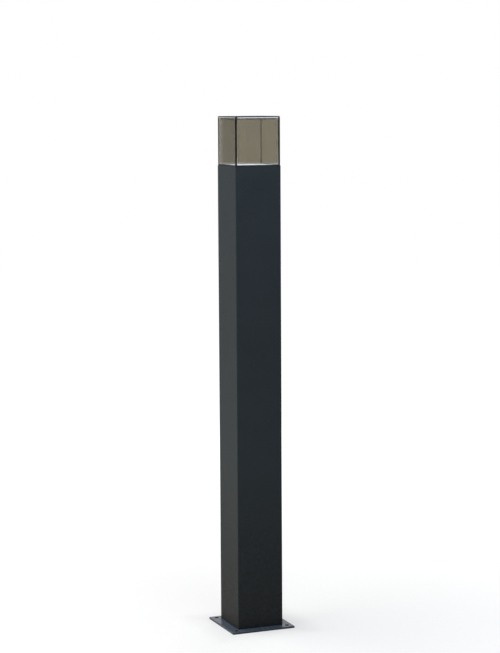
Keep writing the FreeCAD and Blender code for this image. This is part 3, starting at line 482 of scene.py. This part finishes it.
# %% Screws in their places
# Each row: node, body, angle of the first screw, radius of the head and of the shank, facing
SCREWS = [
    ("lid_screws", "lid", 45, 2.8 * MM, 1.5 * MM, 1),
    ("tray_screws", "post", 45, 3.5 * MM, 2.0 * MM, 1),
    ("diffuser_screws", "post", 0, 2.25 * MM, 1.25 * MM, 1),
    ("base_screws", "post", 45, 3.5 * MM, 2.0 * MM, -1),
]
for node, body, first_angle, head, shank, facing in SCREWS:
    low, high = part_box(node)
    reach = high.x - head
    if first_angle:
        # Screws on the diagonals stand further out than their box is wide
        reach *= math.sqrt(2)
    face = high.z if facing > 0 else low.z
    group = bmesh.new()
    for quarter in range(4):
        angle = math.radians(first_angle + 90 * quarter)
        centre = Vector((reach * math.cos(angle), reach * math.sin(angle), face))
        add_screw(group, centre, head, shank, high.z - low.z, facing)
    bmesh.ops.recalc_face_normals(group, faces=group.faces)
    screw_mesh = bpy.data.meshes.new("lobed_" + node)
    group.to_mesh(screw_mesh)
    group.free()
    screw_mesh.materials.append(finishes["cold_headed_stainless_steel"])
    piece = bpy.data.objects.new("lobed_" + node, screw_mesh)
    bpy.context.scene.collection.objects.link(piece)
    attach(piece, body)
    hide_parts(node)
    print(piece.name, len(screw_mesh.polygons), "faces")

# %% [markdown]
# ## Galvanised sheet
# The gear bracket is folded from hot-dip galvanised steel. The zinc freezes in flat crystals a few
# millimetres across, each with its own grey. A noise would blur them, but Voronoi cells have edges
# and one value each, so they copy the crystals well.

# %% Zinc sheet
SPANGLE = 6 * MM

zinc = new_finish("galvanised_steel_sheet")
place = add_node(zinc, "TexCoord").outputs["Object"]
spangle = add_node(zinc, "TexVoronoi", {"Vector": place, "Scale": 1 / SPANGLE})
tone = add_node(zinc, "Mix", {
    "Factor": spangle.outputs["Color"], "A": linear("#8F9498"), "B": linear("#B4B8BB")},
    data_type="RGBA")
sheen = add_node(zinc, "MapRange", {
    "Value": spangle.outputs["Color"], "To Min": 0.35, "To Max": 0.55})
shader = add_node(zinc, "BsdfPrincipled", {
    "Base Color": tone.outputs["Result"], "Metallic": 1.0, "Roughness": sheen.outputs["Result"]})
add_node(zinc, "OutputMaterial", {"Surface": shader.outputs["BSDF"]})
cover("galvanised_steel_sheet", "driver_bracket")

# %% [markdown]
# ## Gear inside the post
# The light source and its gear are moulded or laminated plastics: a white lacquered board, yellow
# phosphor, nylon, polycarbonate, silicone rubber and a PVC sheath. Each could have a recipe of its
# own, but to the eye they have one thing in common, a plain colour with a fine moulded grain, so one
# recipe makes them all from a table.

# %% Moulded plastics
PLASTIC_GRAIN_HEIGHT = 0.05 * MM
# Each row: finish, two tones, roughness, IOR, nodes that it covers
PLASTICS = [
    ("white_lacquered_board", "#E4E6E2", "#EFF0ED", 0.40, 1.55, ["led_board"]),
    ("phosphor_resin", "#D9B43A", "#E6C552", 0.35, 1.50, ["led_chips"]),
    ("white_nylon", "#D6D5D0", "#E2E1DC", 0.50, 1.53, ["led_connector"]),
    ("white_polycarbonate", "#D4D5D3", "#DEDFDD", 0.45, 1.58, ["led_driver"]),
    ("grey_nylon", "#686A6C", "#747678", 0.55, 1.53, ["terminal_block"]),
    ("grey_silicone_rubber", "#85898B", "#929698", 0.65, 1.41, ["thermal_pad", "diffuser_seal"]),
    ("black_pvc_sheath", "#191919", "#242424", 0.50, 1.53, ["led_lead", "driver_input_lead"]),
]
for name, dark, pale, roughness, ior, covered in PLASTICS:
    plastic = new_finish(name)
    place = add_node(plastic, "TexCoord").outputs["Object"]
    grain = add_node(plastic, "TexNoise", {"Vector": place, "Scale": 1 / MOULD_GRAIN})
    tone = add_node(plastic, "Mix", {
        "Factor": grain.outputs["Fac"], "A": linear(dark), "B": linear(pale)}, data_type="RGBA")
    relief = add_node(plastic, "Bump", {
        "Height": grain.outputs["Fac"], "Strength": 0.1, "Distance": PLASTIC_GRAIN_HEIGHT})
    shader = add_node(plastic, "BsdfPrincipled", {
        "Base Color": tone.outputs["Result"], "Roughness": roughness, "IOR": ior,
        "Normal": relief.outputs["Normal"]})
    add_node(plastic, "OutputMaterial", {"Surface": shader.outputs["BSDF"]})
    cover(name, *covered)

# %% [markdown]
# ## Softened edges
# The panes get their ground facets here, and the rubber, the silicone and the lid's frame a narrow
# rounding for the light to catch. The nodes come in with split corners, so a weld joins them first.
# Both could be done to the mesh itself, but modifiers leave the CAD mesh as it is.

# %% Bevels
FACET = 0.6 * MM
ROUNDING = 0.4 * MM
WELD_REACH = 0.01 * MM

edges = {name: (FACET, 1) for name in PANES}
edges.update({name: (ROUNDING, 2) for name in ("sill_seal", "lid_seal", "lid_frame")})
for name, (width, steps) in edges.items():
    weld = nodes[name].modifiers.new("join_corners", "WELD")
    weld.merge_threshold = WELD_REACH
    bevel = nodes[name].modifiers.new("arris", "BEVEL")
    bevel.width = width
    bevel.segments = steps
    bevel.limit_method = "ANGLE"
    if name in PANES:
        bevel.material = 1
print("bevelled nodes:", len(edges))

# %% [markdown]
# ## Floor
# The floor is a pale sweep. It catches light and shadow, and on top of that it glows for rays that
# come straight from the camera, through the glass or from a mirror. More light would also whiten
# it, but would wash out the dark coat as well. The first step is to tell such rays apart.

# %% Rays that see the studio
def straight_through(tree):
    """Picks out rays from the camera, also through glass, that nothing has mirrored or scattered."""
    rays = add_node(tree, "LightPath").outputs
    seen = add_node(tree, "Math", {0: rays["Is Camera Ray"], 1: rays["Is Transmission Ray"]},
                    operation="MAXIMUM")
    bounces = add_node(tree, "Math", {0: rays["Glossy Depth"], 1: rays["Diffuse Depth"]})
    straight = add_node(tree, "Math", {0: bounces.outputs["Value"], 1: 0.5}, operation="LESS_THAN")
    direct = add_node(tree, "Math", {0: seen.outputs["Value"], 1: straight.outputs["Value"]},
                      operation="MULTIPLY")
    return direct.outputs["Value"], rays["Is Glossy Ray"]


GLOW_IN_MIRROR = 0.35

sweep = new_finish("pale_studio_floor")
direct, glossy = straight_through(sweep)
mirrored = add_node(sweep, "Math", {0: glossy, 1: GLOW_IN_MIRROR}, operation="MULTIPLY")
seen = add_node(sweep, "Math", {0: direct, 1: mirrored.outputs["Value"]}, operation="MAXIMUM")
print("ray nodes:", len(sweep.nodes))

# %% [markdown]
# The glow is lower round the foot, so the shadow there stays. It dips once more close to the plate,
# where the two touch, and stops under it, so the anchor holes stay dark. The larger of x and y,
# without their signs, measures how far a point is from the middle of a square.

# %% Glow of the floor
SHADE_REACH = 2.0
GLOW_AT_FOOT = 0.68
CONTACT = 60 * MM
GLOW_AT_CONTACT = 0.85

half_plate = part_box("base_plate")[1].x
place = add_node(sweep, "TexCoord").outputs["Object"]
away = add_node(sweep, "VectorMath", {0: place}, operation="LENGTH")
glow = add_node(sweep, "MapRange", {
    "Value": away.outputs["Value"], "From Min": 0.0, "From Max": SHADE_REACH,
    "To Min": GLOW_AT_FOOT, "To Max": 1.0}, interpolation_type="SMOOTHSTEP")
size = add_node(sweep, "VectorMath", {0: place}, operation="ABSOLUTE")
parts = add_node(sweep, "SeparateXYZ", {"Vector": size.outputs["Vector"]}).outputs
reach = add_node(sweep, "Math", {0: parts["X"], 1: parts["Y"]}, operation="MAXIMUM")
open_air = add_node(sweep, "Math", {0: reach.outputs["Value"], 1: half_plate},
                    operation="GREATER_THAN")
contact = add_node(sweep, "MapRange", {
    "Value": reach.outputs["Value"], "From Min": half_plate, "From Max": half_plate + CONTACT,
    "To Min": GLOW_AT_CONTACT, "To Max": 1.0})
near = add_node(sweep, "Math", {0: open_air.outputs["Value"], 1: contact.outputs["Result"]},
                operation="MULTIPLY")
shaded = add_node(sweep, "Math", {0: glow.outputs["Result"], 1: near.outputs["Value"]},
                  operation="MULTIPLY")
lift = add_node(sweep, "Math", {0: seen.outputs["Value"], 1: shaded.outputs["Value"]},
                operation="MULTIPLY")
print("half the plate:", round(half_plate / MM, 1), "mm")

# %% [markdown]
# The sweep itself is matt painted board, a warm light grey with a faint mottle. A curved backdrop is
# the usual way, but a wide disc does as well, because its far edge glows as white as the room behind.

# %% Pale floor
FLOOR_RADIUS = 9.0
FLOOR_POINTS = 96
SPECKLE = 30 * MM

speckle = add_node(sweep, "TexNoise", {"Vector": place, "Scale": 1 / SPECKLE, "Detail": 3.0})
tone = add_node(sweep, "Mix", {
    "Factor": speckle.outputs["Fac"], "A": linear("#9B9893"), "B": linear("#A3A09B")},
    data_type="RGBA")
shader = add_node(sweep, "BsdfPrincipled", {
    "Base Color": tone.outputs["Result"], "Roughness": 0.9, "Specular IOR Level": 0.0,
    "Emission Color": linear("#FFFFFF"), "Emission Strength": lift.outputs["Value"]})
add_node(sweep, "OutputMaterial", {"Surface": shader.outputs["BSDF"]})

floor_mesh = bpy.data.meshes.new("studio_floor")
disc = bmesh.new()
bmesh.ops.create_circle(disc, cap_ends=True, segments=FLOOR_POINTS, radius=FLOOR_RADIUS)
disc.to_mesh(floor_mesh)
disc.free()
floor_mesh.materials.append(finishes["pale_studio_floor"])
floor = bpy.data.objects.new("studio_floor", floor_mesh)
bpy.context.scene.collection.objects.link(floor)
print("floor radius:", FLOOR_RADIUS, "m")

# %% [markdown]
# ## Room
# The world stands for the studio. A camera sees white paper all round, and so does light that comes
# through the glass. Reflections see the paper only behind the object; towards the camera the room is
# dim and slightly blue, which is what keeps a dark coat dark. Walls could be built for this, but a
# world needs no mesh and throws no shadow.

# %% Room light
PAPER_DIRECTION = (0.379, 0.925, 0.0)
PAPER_EDGE = math.cos(math.radians(42))
PAPER_FULL = math.cos(math.radians(24))
LOW_AIR = -0.1
HIGH_AIR = 0.9
ROOM_LIGHT = 0.22

room = bpy.data.worlds.new("studio_room")
room.use_nodes = True
room.node_tree.nodes.clear()
bpy.context.scene.world = room
space = room.node_tree
direction = add_node(space, "TexCoord").outputs["Generated"]
towards = add_node(space, "VectorMath", {0: direction, 1: PAPER_DIRECTION}, operation="DOT_PRODUCT")
paper = add_node(space, "MapRange", {
    "Value": towards.outputs["Value"], "From Min": PAPER_EDGE, "From Max": PAPER_FULL},
    interpolation_type="SMOOTHSTEP")
direct, glossy = straight_through(space)
mirrored = add_node(space, "Math", {0: paper.outputs["Result"], 1: glossy}, operation="MULTIPLY")
seen = add_node(space, "Math", {0: direct, 1: mirrored.outputs["Value"]}, operation="MAXIMUM")
rise = add_node(space, "SeparateXYZ", {"Vector": direction}).outputs["Z"]
climb = add_node(space, "MapRange", {"Value": rise, "From Min": LOW_AIR, "From Max": HIGH_AIR})
air = add_node(space, "Mix", {
    "Factor": climb.outputs["Result"], "A": linear("#95918B"), "B": linear("#C3D2E2")},
    data_type="RGBA")
dim = add_node(space, "Background", {"Color": air.outputs["Result"], "Strength": ROOM_LIGHT})
white = add_node(space, "Background", {"Color": linear("#FFFFFF"), "Strength": 1.0})
both = add_node(space, "MixShader", {
    0: seen.outputs["Value"], 1: dim.outputs["Background"], 2: white.outputs["Background"]})
add_node(space, "OutputWorld", {"Surface": both.outputs["Shader"]})
print("room lit, paper towards", PAPER_DIRECTION)

# %% [markdown]
# ## Lamps
# A warm panel low on the left makes the narrow face clearly brighter than the wide one. Two
# blue-white panels stand for the sky: they hang above the head, so their light falls off down the
# post. A panel overhead, behind and to the left, lights the plate and the lid and leaves the plate in
# front of the post in shade. One behind keeps the far sides from going black. Point lamps would throw
# hard shadows, so all are broad squares. The two that stand low are kept out of reflections, or the
# plate and the panes would mirror them.

# %% Lamps
MIDDLE = Vector((0.0, 0.0, 0.55))
# Each row: lamp, place, side in metres, power in watts, hue
LAMPS = [
    ("key_panel", (-1.3, -0.15, 0.35), 0.9, 11.0, "#FFEAC0"),
    ("left_sky_panel", (-1.1, -0.2, 1.9), 0.8, 6.5, "#A6CCFF"),
    ("front_sky_panel", (-0.1, -1.05, 1.95), 0.9, 12.2, "#DDECFF"),
    ("top_panel", (-0.9, 0.7, 3.0), 1.4, 42.0, "#F3F5FA"),
    ("rear_panel", (1.7, 1.9, 0.9), 1.2, 24.0, "#F6F8FF"),
]
UNMIRRORED = ("key_panel", "rear_panel")
for name, at, side, power, hue in LAMPS:
    lamp = bpy.data.lights.new(name, "AREA")
    lamp.shape = "SQUARE"
    lamp.size = side
    lamp.energy = power
    lamp.color = linear(hue)[:3]
    panel = bpy.data.objects.new(name, lamp)
    panel.location = at
    panel.rotation_euler = (MIDDLE - Vector(at)).to_track_quat("-Z", "Y").to_euler()
    panel.visible_camera = False
    panel.visible_transmission = False
    panel.visible_glossy = name not in UNMIRRORED
    bpy.context.scene.collection.objects.link(panel)
    print(name, power, "W")

# %% [markdown]
# ## A strip to mirror
# Flat glass shows itself by what it mirrors. A narrow strip of light stands behind on the left, where
# the left pane and the inside of the right one mirror it towards the camera. A lamp would also light
# the post, so the strip is a glowing sheet that only rays that something has mirrored can see. It
# fades out towards its sides, as a softly lit wall does.

# %% Glow of the strip
STRIP_CORE = 13 * MM
STRIP_HALF_WIDTH = 55 * MM
STRIP_GLOW = 0.85

fading = new_finish("fading_light_strip")
place = add_node(fading, "TexCoord").outputs["Object"]
size = add_node(fading, "VectorMath", {0: place}, operation="ABSOLUTE")
across = add_node(fading, "SeparateXYZ", {"Vector": size.outputs["Vector"]}).outputs["X"]
fade = add_node(fading, "MapRange", {
    "Value": across, "From Min": STRIP_CORE, "From Max": STRIP_HALF_WIDTH, "To Min": 1.0,
    "To Max": 0.0}, interpolation_type="SMOOTHSTEP")
bounces = add_node(fading, "LightPath").outputs["Glossy Depth"]
mirrored = add_node(fading, "Math", {0: bounces, 1: 0.5}, operation="GREATER_THAN")
shown = add_node(fading, "Math", {0: fade.outputs["Result"], 1: mirrored.outputs["Value"]},
                 operation="MULTIPLY")
clear = add_node(fading, "BsdfTransparent")
lit = add_node(fading, "Emission", {"Color": linear("#FFFFFF"), "Strength": STRIP_GLOW})
blend = add_node(fading, "MixShader", {
    0: shown.outputs["Value"], 1: clear.outputs["BSDF"], 2: lit.outputs["Emission"]})
add_node(fading, "OutputMaterial", {"Surface": blend.outputs["Shader"]})
print("strip nodes:", len(fading.nodes))

# %% [markdown]
# One upright rectangle carries the glow. It belongs to the studio, not to the object, and it is
# hidden from the camera, from scattered light and from shadows.

# %% Mirrored strip
STRIP_HALF_HEIGHT = 300 * MM
STRIP_AT = (-0.462, 1.2, 1.0)

corners = [(x * STRIP_HALF_WIDTH, 0, z * STRIP_HALF_HEIGHT)
           for x, z in ((-1, -1), (1, -1), (1, 1), (-1, 1))]
strip_mesh = bpy.data.meshes.new("mirrored_strip")
strip_mesh.from_pydata(corners, [], [(0, 1, 2, 3)])
strip_mesh.materials.append(finishes["fading_light_strip"])
strip = bpy.data.objects.new("mirrored_strip", strip_mesh)
strip.location = STRIP_AT
strip.visible_camera = False
strip.visible_diffuse = False
strip.visible_shadow = False
bpy.context.scene.collection.objects.link(strip)
print("strip at", STRIP_AT)

# %% [markdown]
# ## Camera
# A long lens about four metres away sees the post slightly from its left and from just above the
# lid's height. A camera could be turned by eye until it looks right. Here its place and tilt come
# from a fit to the post's edges, with the post taken as 100 mm, so the proportions hold as well.

# %% Camera
EYE = Vector((-1.5137, -3.7099, 1.0943))
HEADING = math.radians(22.2)
PITCH = -0.11473
ROLL = -0.00581
IMAGE_WIDTH, IMAGE_HEIGHT = 500, 653
FOCAL_PIXELS = 1938.54
SENSOR_WIDTH = 36.0

level = Vector((math.sin(HEADING), math.cos(HEADING), 0.0))
side = Vector((math.cos(HEADING), -math.sin(HEADING), 0.0))
forward = level * math.cos(PITCH) + Vector((0, 0, math.sin(PITCH)))
upward = side.cross(forward)
right = side * math.cos(ROLL) + upward * math.sin(ROLL)
above = upward * math.cos(ROLL) - side * math.sin(ROLL)

lens = bpy.data.cameras.new("camera")
lens.sensor_width = SENSOR_WIDTH
lens.lens = FOCAL_PIXELS * SENSOR_WIDTH / max(IMAGE_WIDTH, IMAGE_HEIGHT)
camera = bpy.data.objects.new("camera", lens)
turn = Matrix((right, above, -forward)).transposed().to_4x4()
camera.matrix_world = Matrix.Translation(EYE) @ turn
bpy.context.scene.collection.objects.link(camera)
bpy.context.scene.camera = camera
bpy.context.scene.view_settings.view_transform = "Standard"
print("lens:", round(lens.lens, 2), "mm")
